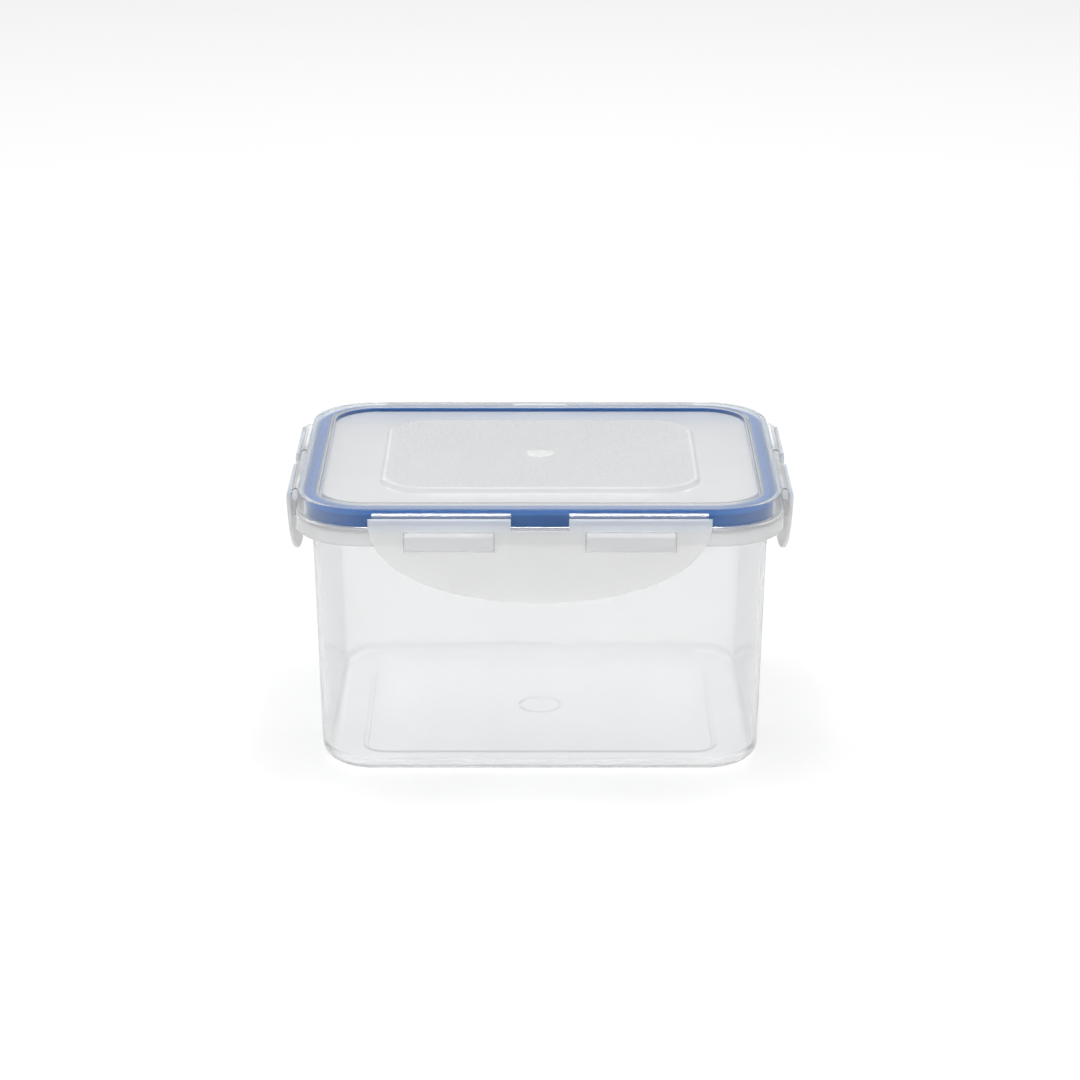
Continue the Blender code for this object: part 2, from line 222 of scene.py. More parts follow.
# Painted shade: the greyer colour of the step and groove in the tub's floor.
FLOOR_LINE_PAINTED_MEAN = (0.8, 0.84, 0.85)
FLOOR_LINE_PAINTED_SHADES = ((0.78, 0.83, 0.84), (0.82, 0.86, 0.87))
FROSTED_SHADES = ((0.96, 0.96, 0.96), (0.98, 0.98, 0.98))
LID_SHADES = ((0.975, 0.975, 0.975), (1.0, 1.0, 1.0))
CENTRE_SHADES = ((0.79, 0.8, 0.807), (0.81, 0.82, 0.827))
CREST_SHADES = ((0.86, 0.88, 0.905), (0.88, 0.9, 0.92))
# Painted blue: the gasket seen through the crest at the tub's short ends.
CREST_END_PAINTED_BLUE = (0.66, 0.76, 0.88)
EDGE_SHADES = ((0.94, 0.95, 0.96), (0.98, 0.98, 0.99))
BEAD_SHADES = ((0.945, 0.955, 0.965), (0.96, 0.97, 0.975))
SILICONE_SHADES = ((0.01, 0.112, 0.385), (0.014, 0.138, 0.435))
FLOOR_SHADES = ((0.785, 0.785, 0.785), (0.795, 0.795, 0.795))

# Painted shade, show-through and blue that change along an axis, as (share of the way, colour) stops. The
# first two are the ends.
# The flaps: a painted grey band for the flange behind, then the gasket's blue painted on towards the top.
FLAP_PAINTED_SHOW_THROUGH = (
    (0.0, (1.0, 1.0, 1.0)),
    (1.0, (0.84, 0.89, 0.97)),
    (0.34, (1.0, 1.0, 1.0)),
    (0.38, (0.95, 0.955, 0.955)),
    (0.58, (0.95, 0.955, 0.955)),
)
# The lid's ledge: painted shade and the gasket's blue, growing towards the rear.
LEDGE_PAINTED_SHADE_AND_BLUE = (
    (0.0, (0.875, 0.88, 0.885)),
    (1.0, (0.65, 0.71, 0.82)),
    (0.8, (0.82, 0.833, 0.853)),
)
# The bead's inner edge: the gasket's blue painted on, strongest at the front.
EDGE_PAINTED_BLUE = (
    (0.0, (0.36, 0.48, 0.66)),
    (1.0, (0.9, 0.93, 0.97)),
)
FLAP_SHOW_THROUGH_LOW = 75 * MM
FLAP_SHOW_THROUGH_HIGH = 87 * MM
LID_PAINTED_REACH = 55 * MM
SLOPE_HIGHLIGHT_START = LEDGE + 0.1 * MM
SLOPE_HIGHLIGHT_FULL = LEDGE + 0.5 * MM
CLEAR_END_START = RIM_HALF_LENGTH - 9.5 * MM
CLEAR_END_STOP = RIM_HALF_LENGTH - 4.5 * MM

# Roughness, from and to, as the grain of a surface goes.
POLISHED = (0.05, 0.1)
SATIN = (0.12, 0.2)

# Scales of clouds and grains, in features a metre.
BROAD_CLOUD = 45.0
SOFT_CLOUD = 60.0
SATIN_GRAIN = 700.0
CREST_GRAIN = 1500.0
MATT_GRAIN = 3500.0

# Camera and light.
CAMERA_BACK = 981.2 * MM
CAMERA_HEIGHT = 397.4 * MM
CAMERA_DOWN = math.radians(19.0)
CAMERA_LENS = 106.49
CAMERA_SENSOR = 36.0
FLOOR_RADIUS = 8.0
FLOOR_DROP = 0.2 * MM
FLOOR_GLOW = 0.24
WORLD_STRENGTH = 0.7
WORLD_HEIGHT_SHADES = ((0.0, (0.84, 0.845, 0.85)), (0.6, (1.0, 1.0, 1.0)))
WORLD_SIDE_SHADES = ((0.3, (1.0, 1.0, 1.0)), (0.95, (0.65, 0.65, 0.65)))
LIGHT_AIM = (0.0, 0.0, 0.04)

# Softboxes: name, place, size and power, in metres and watts.
SOFTBOXES = (
    ("overhead", (0.0, 0.08, 1.38), (0.5, 0.34), 5.2),
    ("rear left", (-0.55, 1.15, 1.15), (0.3, 0.3), 1.8),
    ("rear right", (0.55, 1.15, 1.15), (0.3, 0.3), 1.8),
    ("front strip", (0.0, -1.35, 0.62), (0.5, 0.12), 1.2),
)


# ---------------------------------------------------------------- outlines and profiles


def rounded_outline(half_length, half_width, corner, height):
    """A rounded rectangle, anticlockwise from above, with the same number of points at every size."""
    arcs = []
    for turn, (side_x, side_y) in enumerate(((1, 1), (-1, 1), (-1, -1), (1, -1))):
        centre = Vector((side_x * (half_length - corner), side_y * (half_width - corner)))
        arc = []
        for step in range(ARC_STEPS + 1):
            angle = (turn + step / ARC_STEPS) * math.pi / 2
            arc.append(centre + corner * Vector((math.cos(angle), math.sin(angle))))
        arcs.append(arc)
    points = []
    for arc, following in zip(arcs, arcs[1:] + arcs[:1]):
        points += arc
        for step in range(1, SIDE_STEPS):
            points.append(arc[-1].lerp(following[0], step / SIDE_STEPS))
    return [Vector((point.x, point.y, height)) for point in points]


def rim_outline(inset, height, corner_growth=0.0):
    """The rim's outline at an inset; its corners may be rounder than parallel ones."""
    return rounded_outline(
        RIM_HALF_LENGTH - inset,
        RIM_HALF_WIDTH - inset,
        RIM_CORNER - inset + corner_growth,
        height,
    )


def skirt_outline(inset, height):
    """The rim's outline, let out at the short sides by as much as it is near the skirt's face."""
    outline = rim_outline(inset, height)
    growth = SKIRT_GROWTH * max(0.0, 1 - max(inset, 0.0) / WALL_INSET)
    stretch = (RIM_HALF_LENGTH - inset + growth) / (RIM_HALF_LENGTH - inset)
    return [Vector((point.x * stretch, point.y, point.z)) for point in outline]


def circle_outline(radius, height):
    """A circle whose points match those of rounded_outline, corner for corner."""
    per_corner = ARC_STEPS + SIDE_STEPS
    points = []
    for number in range(4 * per_corner):
        turn, step = divmod(number, per_corner)
        angle = (turn + step / per_corner) * math.pi / 2
        points.append(Vector((radius * math.cos(angle), radius * math.sin(angle), height)))
    return points


def filleted(corners, steps=FILLET_STEPS):
    """A profile with its corners rounded. Each corner is (across, up) or (across, up, radius)."""
    places = [Vector(corner[:2]) for corner in corners]
    path = [places[0]]
    for number in range(1, len(corners) - 1):
        here = places[number]
        radius = corners[number][2] if len(corners[number]) > 2 else 0.0
        if not radius:
            path.append(here)
            continue
        back = (places[number - 1] - here).normalized()
        onward = (places[number + 1] - here).normalized()
        half_angle = back.angle(onward) / 2
        centre = here + (back + onward).normalized() * radius / math.sin(half_angle)
        reach = radius / math.tan(half_angle)
        first = here + back * reach - centre
        last = here + onward * reach - centre
        sweep = first.angle(last)
        for step in range(steps + 1):
            share = step / steps
            along = first * math.sin((1 - share) * sweep) + last * math.sin(share * sweep)
            path.append(centre + along / math.sin(sweep))
    path.append(places[-1])
    return path


def rim_rings(corners, steps=FILLET_STEPS):
    """Rings round the rim outline from a profile of (inset, height, radius) corners."""
    return [skirt_outline(inset, height) for inset, height in filleted(corners, steps)]


def block_rings(half_length, half_width, corner, corners, steps=BLOCK_FILLET_STEPS):
    """Rings round a block's outline from a profile of (growth, height, radius) corners."""
    return [
        rounded_outline(half_length + growth, half_width + growth, corner + growth, height)
        for growth, height in filleted(corners, steps)
    ]


def gate_rings(radius, height, depth):
    """The witness mark of a moulding gate: a shallow round groove with a dimple inside it."""
    profile = (
        (radius, height),
        (radius - GATE_GROOVE * 0.3, height - depth),
        (radius - GATE_GROOVE * 0.7, height - depth),
        (radius - GATE_GROOVE, height),
        (radius * 0.35, height),
        (radius * 0.22, height - depth / 2),
    )
    return [circle_outline(across, up) for across, up in profile]


# ---------------------------------------------------------------- meshes


def lofted_mesh(name, rings, closed=False):
    """One skin through rings of equal length, with flat caps unless it closes on itself."""
    shape = bmesh.new()
    loops = [[shape.verts.new(point) for point in ring] for ring in rings]
    pairs = list(zip(loops, loops[1:]))
    if closed:
        pairs.append((loops[-1], loops[0]))
    for lower, upper in pairs:
        for number in range(len(lower)):
            after = (number + 1) % len(lower)
            shape.faces.new((lower[number], lower[after], upper[after], upper[number]))
    if not closed:
        shape.faces.new(loops[0][::-1])
        shape.faces.new(loops[-1])
    bmesh.ops.recalc_face_normals(shape, faces=shape.faces)
    mesh = bpy.data.meshes.new(name)
    shape.to_mesh(mesh)
    shape.free()
    return mesh


def add_piece(name, mesh, *materials):
    """An object with a mesh, in the scene, with one or more materials."""
    piece = bpy.data.objects.new(name, mesh)
    bpy.context.scene.collection.objects.link(piece)
    mesh.materials.clear()
    for material in materials:
        mesh.materials.append(material)
    return piece


def smooth(piece, angle=40):
    """Smooth shading whose flats stay flat beside small rounded edges."""
    piece.data.shade_smooth()
    piece.data.set_sharp_from_angle(angle=math.radians(angle))
    weights = piece.modifiers.new("flat faces", "WEIGHTED_NORMAL")
    weights.keep_sharp = True


def baked_mesh(piece):
    """The evaluated mesh of a piece, its modifiers applied and its loose caps welded."""
    depsgraph = bpy.context.evaluated_depsgraph_get()
    mesh = bpy.data.meshes.new_from_object(piece.evaluated_get(depsgraph))
    shape = bmesh.new()
    shape.from_mesh(mesh)
    bmesh.ops.remove_doubles(shape, verts=shape.verts, dist=WELD_DISTANCE)
    shape.to_mesh(mesh)
    shape.free()
    return mesh


def remove(piece):
    bpy.data.objects.remove(piece, do_unlink=True)


def joined_mesh(mesh, tools):
    """The union of a mesh with several others."""
    whole = bpy.data.objects.new("whole", mesh)
    bpy.context.scene.collection.objects.link(whole)
    helpers = []
    for tool_mesh in tools:
        tool = bpy.data.objects.new("tool", tool_mesh)
        bpy.context.scene.collection.objects.link(tool)
        step = whole.modifiers.new("join", "BOOLEAN")
        step.operation = "UNION"
        step.solver = "EXACT"
        step.object = tool
        helpers.append(tool)
    result = baked_mesh(whole)
    for helper in helpers + [whole]:
        remove(helper)
    return result


def plate_mesh(outlines, thickness, edge):
    """A flat plate in the XY plane with rounded edges; outlines after the first are holes."""
    curve = bpy.data.curves.new("plate", "CURVE")
    curve.dimensions = "2D"
    curve.fill_mode = "BOTH"
    curve.extrude = thickness / 2 - edge
    curve.bevel_depth = edge
    curve.bevel_resolution = BEVEL_STEPS
    curve.offset = -edge
    for outline in outlines:
        spline = curve.splines.new("POLY")
        spline.points.add(len(outline) - 1)
        for spline_point, (across, up) in zip(spline.points, outline):
            spline_point.co = (across, up, 0.0, 1.0)
        spline.use_cyclic_u = True
    plate = bpy.data.objects.new("plate", curve)
    bpy.context.scene.collection.objects.link(plate)
    mesh = baked_mesh(plate)
    remove(plate)
    return mesh


def side_matrix(turns):
    """The turn that carries the front to a side."""
    return Matrix.Rotation(turns * math.pi / 2, 4, "Z")


def rim_distance(turns):
    """How far a side's rim stands from the middle."""
    return RIM_HALF_WIDTH if turns % 2 == 0 else RIM_HALF_LENGTH


def flap_half(turns):
    """Half the length of a side's flap."""
    return LONG_FLAP_HALF if turns % 2 == 0 else SHORT_FLAP_HALF


def side_point(turns, across, offset, height):
    """A point on a side: across along it, offset outward from the rim outline."""
    return side_matrix(turns) @ Vector((across, -rim_distance(turns) - offset, height))


def side_spans(turns, start_share, end_share):
    """The two stretches along a side between two shares of its flap's half length."""
    half = flap_half(turns)
    return (-half * end_share, -half * start_share), (half * start_share, half * end_share)


def outline_inset(point, half_length, half_width, corner):
    """How far a point lies inward from a rounded rectangle."""
    across = abs(point.x) - half_length + corner
    along = abs(point.y) - half_width + corner
    return corner - math.hypot(max(across, 0.0), max(along, 0.0)) - min(max(across, along), 0.0)


def rim_inset(point):
    """How far a point lies inward from the rim's outline."""
    return outline_inset(point, RIM_HALF_LENGTH, RIM_HALF_WIDTH, RIM_CORNER)


# ---------------------------------------------------------------- tub


def wall_ring(height, thickness=0.0):
    """The wall's outline at a height: it draws in towards the foot, with rounder corners there."""
    depth = 1 - height / RIM_HEIGHT
    return rim_outline(WALL_INSET + thickness + WALL_DRAFT * depth, height, FOOT_CORNER_GROWTH * depth)


def foot_rings(thickness, radius, floor):
    """The round edge between floor and wall, from the flat out and up."""
    inset = WALL_INSET + thickness + WALL_DRAFT
    corners = (
        (inset + 2 * radius, floor),
        (inset, floor, radius),
        (inset - 0.2 * MM, floor + 4 * radius),
    )
    path = filleted(corners, FOOT_FILLET_STEPS)[1:-1]
    return [rim_outline(across, up, FOOT_CORNER_GROWTH) for across, up in path]


def tub_rings():
    """The whole tub as one skin: up its outside from under the floor, over the rim and down inside."""
    panel = (PANEL_HALF_LENGTH, PANEL_HALF_WIDTH, PANEL_CORNER)
    outer = [circle_outline(FLOOR_GATE_RADIUS, PANEL_RISE)]
    recess = (
        (-PANEL_RUN, PANEL_RISE),
        (-PANEL_SLOPE, PANEL_RISE, PANEL_FILLET),
        (0.0, 0.0, PANEL_FILLET),
        (SHORT_RUN, 0.0),
    )
    outer += block_rings(*panel, recess)
    outer += foot_rings(0.0, FOOT_FILLET, 0.0)
    outer += [wall_ring(height) for height in (*WALL_HEIGHTS, WALL_TOP)]
    rim = (
        (WALL_INSET + 0.1 * MM, RIM_HEIGHT - 4.0 * MM),
        (WALL_INSET, RIM_HEIGHT - FLANGE_SHELF, 0.5 * MM),
        (FLANGE_BAND, RIM_HEIGHT - FLANGE_SHELF, 0.4 * MM),
        (FLANGE_BAND, FLANGE_FOOT, 0.5 * MM),
        (0.0, FLANGE_FOOT, 0.6 * MM),
        (0.0, RIM_HEIGHT, 0.7 * MM),
        (LIP_OUTER_INSET, RIM_HEIGHT, 0.3 * MM),
        (LIP_OUTER_INSET, LIP_TOP, 0.45 * MM),
        (LIP_INNER_INSET, LIP_TOP, 0.45 * MM),
        (LIP_INNER_INSET, RIM_HEIGHT, 0.3 * MM),
        (WALL_INSET + WALL_THICKNESS, RIM_HEIGHT, 0.6 * MM),
        (WALL_INSET + WALL_THICKNESS + 0.05 * MM, RIM_HEIGHT - 3.0 * MM),
    )
    middle = rim_rings(rim)
    inner = [wall_ring(height, WALL_THICKNESS) for height in reversed(WALL_HEIGHTS)]
    inner += foot_rings(WALL_THICKNESS, INNER_FILLET, FLOOR_THICKNESS)[::-1]
    top = FLOOR_THICKNESS + PANEL_RISE
    step = (
        (FLOOR_STEP + SHORT_RUN, FLOOR_THICKNESS),
        (FLOOR_STEP, FLOOR_THICKNESS, PANEL_FILLET),
        (FLOOR_STEP - PANEL_SLOPE, top, PANEL_FILLET),
        (FLOOR_STEP - PANEL_RUN, top),
    )
    inner += block_rings(*panel, step)
    inner += gate_rings(FLOOR_GATE_RADIUS, top, FLOOR_GATE_DEPTH)
    return outer + middle + inner


def lug_mesh(turns, span):
    """One lock lug: a flat top, a sloped nose for the flap to ride over, and a hook underneath."""
    root = -FLANGE_BAND / 2
    profile = (
        (root, LUG_TOP),
        (root, LUG_FOOT),
        (LUG_REACH, LUG_FOOT),
        (LUG_REACH, LUG_NOSE_TOP),
        (LUG_SHOULDER, LUG_TOP),
    )
    start, end = span[0] + LUG_SIDE_GAP, span[1] - LUG_SIDE_GAP
    rim = rim_distance(turns)
    shape = bmesh.new()
    ends = []
    for across in (start, end):
        ends.append([shape.verts.new((across, -rim - out, up)) for out, up in profile])
    shape.faces.new(ends[0])
    shape.faces.new(ends[1][::-1])
    for number in range(len(profile)):
        after = (number + 1) % len(profile)
        shape.faces.new((ends[0][after], ends[0][number], ends[1][number], ends[1][after]))
    bmesh.ops.recalc_face_normals(shape, faces=shape.faces)
    bmesh.ops.bevel(
        shape,
        geom=shape.edges[:],
        offset=LUG_EDGE,
        offset_type="OFFSET",
        segments=BEVEL_STEPS,
        profile=0.5,
        affect="EDGES",
        clamp_overlap=True,
    )
    bmesh.ops.transform(shape, matrix=side_matrix(turns), verts=shape.verts)
    mesh = bpy.data.meshes.new("lug")
    shape.to_mesh(mesh)
    shape.free()
    return mesh


def in_foot(point):
    """Whether a point low on the tub lies on its underside or on the round edge of its foot."""
    return point.z < FLOOR_THICKNESS * 0.8 or rim_inset(point) < WALL_INSET + WALL_DRAFT + FOOT_BAND


def in_floor_line(point):
    """Whether a point inside the tub lies on the step round the floor's panel or in its gate's groove."""
    beyond = -outline_inset(point, PANEL_HALF_LENGTH, PANEL_HALF_WIDTH, PANEL_CORNER)
    on_step = FLOOR_STEP - PANEL_SLOPE - LINE_MARGIN < beyond < FLOOR_STEP + LINE_MARGIN
    return on_step or FLOOR_GATE_RADIUS - GATE_GROOVE < point.xy.length < FLOOR_GATE_RADIUS


def make_tub(*materials):
    """The tub with its lugs; its materials are the wall's, the rim's, the foot's and the floor lines', whose
    greyer colour is painted shade.
    """
    lugs = []
    for _, turns, _ in SIDES:
        for span in side_spans(turns, SLOT_START_SHARE, SLOT_END_SHARE):
            lugs.append(lug_mesh(turns, span))
    tub = add_piece("tub", joined_mesh(lofted_mesh("tub", tub_rings()), lugs), *materials)
    rim, foot, line = range(1, 4)
    for face in tub.data.polygons:
        if face.center.z > FLANGE_FOOT and rim_inset(face.center) < WALL_INSET + WALL_THICKNESS / 2:
            face.material_index = rim
        elif face.center.z < FOOT_FILLET and in_foot(face.center):
            face.material_index = foot
        # Painted shade: the step round the floor's panel and the gate's groove take the greyer line colour.
        elif face.center.z < FOOT_FILLET and in_floor_line(face.center):
            face.material_index = line
    smooth(tub)
    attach(tub, "container")
    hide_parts("container_body")


# ---------------------------------------------------------------- lid and gasket


def lid_rings():
    """The whole lid as one skin: outward over its top, round the bead and channel, and in underneath."""
    panel = (CENTRE_HALF_LENGTH, CENTRE_HALF_WIDTH, CENTRE_CORNER)
    top = gate_rings(LID_GATE_RADIUS, LID_TOP, LID_GATE_DEPTH)[::-1]
    raised = (
        (-CENTRE_SLOPE - CENTRE_RUN, LID_TOP),
        (-CENTRE_SLOPE, LID_TOP, 1.3 * MM),
        (0.0, LEDGE, 1.1 * MM),
        (LEDGE_RUN, LEDGE),
    )
    top += block_rings(*panel, raised, FILLET_STEPS)
    rim = (
        (BEAD_INNER_INSET + LEDGE_RUN, LEDGE),
        (BEAD_INNER_INSET, LEDGE, 0.12 * MM),
        (BEAD_INNER_INSET - 0.1 * MM, BEAD_CROWN, 0.3 * MM),
        (LID_DRAFT, BEAD_TOP, 0.5 * MM),
        (0.0, LID_FOOT, 0.35 * MM),
        (BEAD_WALL, LID_FOOT, 0.3 * MM),
        (BEAD_WALL, CHANNEL_TOP, 0.5 * MM),
        (CHANNEL_INNER_INSET, CHANNEL_TOP, 0.2 * MM),
        (CHANNEL_INNER_INSET, LID_FOOT, 0.2 * MM),
        (PLUG_OUTER_INSET, LID_FOOT, 0.2 * MM),
        (PLUG_OUTER_INSET, LID_FOOT - PLUG_DEPTH, 0.5 * MM),
        (PLUG_INNER_INSET, LID_FOOT - PLUG_DEPTH, 0.4 * MM),
        (PLUG_INNER_INSET, LEDGE_UNDER, 0.6 * MM),
        (PLUG_INNER_INSET + LEDGE_RUN, LEDGE_UNDER),
    )
    middle = rim_rings(rim)
    under = (
        (SHORT_RUN, LEDGE_UNDER),
        (-CENTRE_MARGIN, LEDGE_UNDER, 0.8 * MM),
        (-CENTRE_SLOPE - CENTRE_MARGIN, CENTRE_UNDER, 0.8 * MM),
        (-CENTRE_SLOPE - CENTRE_RUN, CENTRE_UNDER),
    )
    bottom = block_rings(*panel, under)
    bottom += [circle_outline(LID_GATE_RADIUS, CENTRE_UNDER)]
    return top + middle + bottom


def in_centre(point):
    """Whether a point lies on the flat of the raised centre panel, inside its slope."""
    depth = outline_inset(point, CENTRE_HALF_LENGTH, CENTRE_HALF_WIDTH, CENTRE_CORNER)
    return depth > CENTRE_SLOPE + CENTRE_MARGIN


def make_lid(*materials):
    """The lid; its materials are the ledge's, the bead's, the centre's, the crest's and the inner edge's,
    where the gasket's blue is painted on.
    """
    lid = add_piece("lid", lofted_mesh("lid", lid_rings()), *materials)
    bead, centre, crest, edge = range(1, 5)
    for face in lid.data.polygons:
        inset = rim_inset(face.center)
        on_edge = BEAD_INNER_INSET - EDGE_WIDTH < inset < BEAD_INNER_INSET + EDGE_MARGIN
        # Painted blue: the bead's inner edge gets the material with the gasket's blue painted on.
        if on_edge and face.center.z > BEAD_TOP - EDGE_DEPTH:
            face.material_index = edge
        elif inset < BEAD_INNER_INSET:
            face.material_index = crest if face.center.z > BEAD_TOP - EDGE_MARGIN else bead
        elif in_centre(face.center) and face.center.xy.length > LID_GATE_RADIUS:
            face.material_index = centre
    smooth(lid)
    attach(lid, "lid")
    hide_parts("lid_cover")


def make_gasket(material):
    """The gasket, one closed ring with a groove underneath for the tub's lip."""
    outer = GASKET_INSET
    inner = GASKET_INSET + GASKET_WIDTH
    middle = (LIP_OUTER_INSET + LIP_INNER_INSET) / 2
    groove_out = middle - GASKET_GROOVE / 2
    groove_in = middle + GASKET_GROOVE / 2
    profile = (
        (groove_out - 0.3 * MM, LID_FOOT),
        (outer, LID_FOOT, 0.2 * MM),
        (outer, GASKET_SHOULDER, 0.35 * MM),
        (inner - GASKET_CROWN, GASKET_TOP, 0.4 * MM),
        (inner, GASKET_TOP, 0.25 * MM),
        (inner, LID_FOOT, 0.2 * MM),
        (groove_in, LID_FOOT, 0.15 * MM),
        (groove_in, GROOVE_TOP, 0.5 * MM),
        (groove_out, GROOVE_TOP, 0.5 * MM),
        (groove_out, LID_FOOT, 0.15 * MM),
        (groove_out - 0.25 * MM, LID_FOOT),
    )
    mesh = lofted_mesh("gasket", rim_rings(profile), closed=True)
    gasket = add_piece("gasket", mesh, material)
    smooth(gasket)
    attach(gasket, "lid")
    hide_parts("seal_gasket")


# ---------------------------------------------------------------- lock flaps


def flap_outline(half):
    """The flap's outline about its hinge axis: a straight notched top over a deep round drop."""
    top = FLAP_THICKNESS / 2
    notch = half * NOTCH_SHARE
    corners = [(-notch + 1.0 * MM, top - FLAP_NOTCH_DEPTH), (notch, top - FLAP_NOTCH_DEPTH, 0.5 * MM)]
    corners += [(notch, top, 0.3 * MM), (half - 6.0 * MM, top)]
    outline = [tuple(point) for point in filleted(corners)[1:-1]]
    for step in range(FLAP_OUTLINE_STEPS + 1):
        angle = math.pi * step / FLAP_OUTLINE_STEPS
        drop = FLAP_DROP * max(math.sin(angle), 0.0) ** FLAP_ROUNDNESS
        outline.append((half * math.cos(angle), top - drop))
    corners = [(-half + 6.0 * MM, top), (-notch, top, 0.3 * MM)]
    corners += [(-notch, top - FLAP_NOTCH_DEPTH, 0.5 * MM), (notch - 1.0 * MM, top - FLAP_NOTCH_DEPTH)]
    outline += [tuple(point) for point in filleted(corners)[1:-1]]
    return outline


def slot_outline(low, high):
    """A slot's outline in a flap, which starts and ends in the middle of its floor."""
    top = SLOT_TOP - FLAP_PIVOT_HEIGHT
    foot = SLOT_FLOOR - FLAP_PIVOT_HEIGHT
    middle = (low + high) / 2
    corners = (
        (middle, foot),
        (high, foot, SLOT_CORNER),
        (high, top, SLOT_CORNER),
        (low, top, SLOT_CORNER),
        (low, foot, SLOT_CORNER),
        (middle, foot),
    )
    return [tuple(point) for point in filleted(corners)[1:]]


def flap_mesh(half):
    """One flap about its hinge axis: x along the hinge, -y outward, z up, its top bent in."""
    outlines = [flap_outline(half)]
    for sign in (-1, 1):
        ends = sorted((sign * half * SLOT_START_SHARE, sign * half * SLOT_END_SHARE))
        outlines.append(slot_outline(*ends))
    mesh = plate_mesh(outlines, FLAP_THICKNESS, FLAP_EDGE)
    mesh.transform(Matrix.Rotation(math.pi / 2, 4, "X"))
    shape = bmesh.new()
    shape.from_mesh(mesh)
    start = FLAP_THICKNESS / 2 - FLAP_SHOULDER_LENGTH
    for step in range(SHOULDER_STEPS):
        everything = shape.verts[:] + shape.edges[:] + shape.faces[:]
        level = start + step * FLAP_SHOULDER_LENGTH / SHOULDER_STEPS
        bmesh.ops.bisect_plane(shape, geom=everything, plane_co=(0, 0, level), plane_no=(0, 0, 1))
    for vert in shape.verts:
        if vert.co.z > start:
            angle = (vert.co.z - start) / FLAP_SHOULDER_RADIUS
            depth = vert.co.y
            across = FLAP_SHOULDER_RADIUS * (1 - math.cos(angle)) + depth * math.cos(angle)
            up = FLAP_SHOULDER_RADIUS * math.sin(angle) - depth * math.sin(angle)
            vert.co.y = across
            vert.co.z = start + up
    bmesh.ops.transform(shape, matrix=Matrix.Rotation(FLAP_LEAN, 4, "X"), verts=shape.verts)
    bmesh.ops.recalc_face_normals(shape, faces=shape.faces)
    shape.to_mesh(mesh)
    shape.free()
    return mesh


def smooth_path(stations, steps):
    """A Catmull-Rom curve through (offset, height, thickness) stations."""
    points = [Vector(station) for station in stations]
    points = [2 * points[0] - points[1]] + points + [2 * points[-1] - points[-2]]
    path = []
    for before, start, end, after in zip(points, points[1:], points[2:], points[3:]):
        for step in range(steps):
            t = step / steps
            path.append(
                0.5
                * (
                    2 * start
                    + (end - before) * t
                    + (2 * before - 5 * start + 4 * end - after) * t * t
                    + (3 * start - before - 3 * end + after) * t * t * t
                )
            )
    path.append(points[-2])
    return path


def film_mesh(turns, span, stations):
    """A strip of film: the section between its upper and lower faces, drawn along the side."""
    path = smooth_path(stations, FILM_PATH_STEPS)
    upper, lower = [], []
    for number, point in enumerate(path):
        before = path[max(number - 1, 0)]
        after = path[min(number + 1, len(path) - 1)]
        run = Vector((after.x - before.x, after.y - before.y)).normalized()
        rise = Vector((-run.y, run.x)) * point.z / 2
        centre = Vector((point.x, point.y))
        upper.append(centre + rise)
        lower.append(centre - rise)
    section = upper + lower[::-1]
    shape = bmesh.new()
    columns = []
    for step in range(FILM_STEPS + 1):
        across = span[0] + (span[1] - span[0]) * step / FILM_STEPS
        columns.append([shape.verts.new(side_point(turns, across, out, up)) for out, up in section])
    for first, second in zip(columns, columns[1:]):
        for number in range(len(section)):
            after = (number + 1) % len(section)
            shape.faces.new((first[number], first[after], second[after], second[number]))
    count = len(upper)
    for column in (columns[0], columns[-1]):
        for number in range(count - 1):
            other = 2 * count - 1 - number
            shape.faces.new((column[number], column[number + 1], column[other - 1], column[other]))
    bmesh.ops.recalc_face_normals(shape, faces=shape.faces)
    mesh = bpy.data.meshes.new("film")
    shape.to_mesh(mesh)
    shape.free()
    return mesh


def make_film(side, turns, end, span, material):
    """One strip of film, in two pieces: one runs from the lid, the other on to the flap."""
    node = f"{side}_film_{end}"
    folds = (
        ("root", FILM_ROOT, "lid", f"{side}_film"),
        ("tip", FILM_TIP, f"{side}_film", f"{side}_lock"),
    )
    for name, stations, first_body, second_body in folds:
        film = add_piece(f"{node}_{name}", film_mesh(turns, span, stations), material)
        smooth(film, 60)
        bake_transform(film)
        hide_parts(node)


def make_flaps(flap_material, film_material):
    """The four flaps, each with its two strips of film."""
    for side, turns, ends in SIDES:
        mesh = flap_mesh(flap_half(turns))
        mesh.transform(
            side_matrix(turns)
            @ Matrix.Translation((0.0, -rim_distance(turns) - FLAP_PIVOT_OFFSET, FLAP_PIVOT_HEIGHT))
        )
        flap = add_piece(f"{side}_lock_flap", mesh, flap_material)
        smooth(flap)
        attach(flap, f"{side}_lock")
        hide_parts(f"{side}_flap")
        for end, span in zip(ends, side_spans(turns, NOTCH_SHARE, FILM_END_SHARE)):
            make_film(side, turns, end, span, film_material)


# ---------------------------------------------------------------- materials


def ramp_colour(tree, source, stops):
    """The colour that a value picks from (position, colour) stops. The first two are the ends."""
    ramp = tree.nodes.new("ShaderNodeValToRGB")
    elements = ramp.color_ramp.elements
    for number, (position, colour) in enumerate(stops):
        stop = elements[number] if number < 2 else elements.new(position)
        stop.position = position
        stop.color = (*colour, 1.0)
    tree.links.new(source, ramp.inputs["Fac"])
    return ramp.outputs["Color"]


def multiplied(tree, first, second):
    """One colour times another."""
    mix = tree.nodes.new("ShaderNodeMix")
    mix.data_type = "RGBA"
    mix.blend_type = "MULTIPLY"
    mix.inputs["Factor"].default_value = 1.0
    tree.links.new(first, mix.inputs["A"])
    tree.links.new(second, mix.inputs["B"])
    return mix.outputs["Result"]


